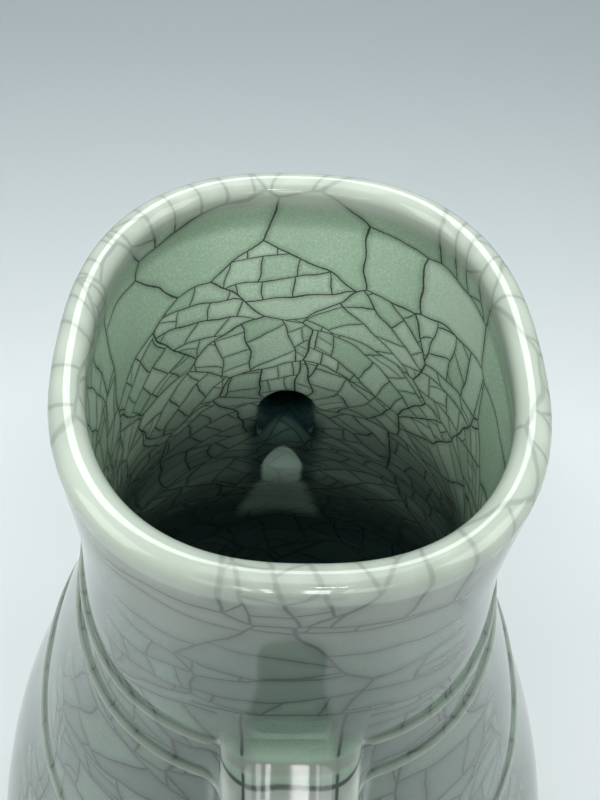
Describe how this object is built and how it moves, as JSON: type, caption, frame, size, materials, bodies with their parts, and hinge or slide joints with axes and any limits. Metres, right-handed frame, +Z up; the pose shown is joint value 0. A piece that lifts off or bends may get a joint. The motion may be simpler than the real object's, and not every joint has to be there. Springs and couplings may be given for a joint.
{
  "type": "celadon vase",
  "caption": "Crackle-glazed celadon vase of rounded rectangular plan, with raised strings round neck and shoulder and a hollow lug on each narrow side.",
  "frame": {"origin": "centre of the foot's resting plane, which is the bottom centre of the bounding box", "axes": "+Z up through the mouth; -Y towards the front lug, the side that the picture is taken from; +X to the right seen from there"},
  "size_m": [0.22, 0.2332, 0.36],
  "materials": {
    "celadon_glaze": "glossy, grey-green, with fine dark crackle lines",
    "lip_glaze": "glossy, paler where the glaze runs thin over the lip",
    "foot_biscuit": "bare, matt, brown fired clay on the resting edge, glazed above it"
  },
  "bodies": {
    "root": {"mouth_rim": "lip_glaze", "neck": "celadon_glaze", "shoulder": "celadon_glaze", "upper_belly": "celadon_glaze", "lower_belly": "celadon_glaze", "base_floor": "celadon_glaze", "foot_ring": "foot_biscuit", "belly_string": "celadon_glaze", "upper_string_right": "celadon_glaze", "lower_string_right": "celadon_glaze", "upper_string_left": "celadon_glaze", "lower_string_left": "celadon_glaze", "front_lug": "celadon_glaze", "back_lug": "celadon_glaze"}
  },
  "joints": []
}
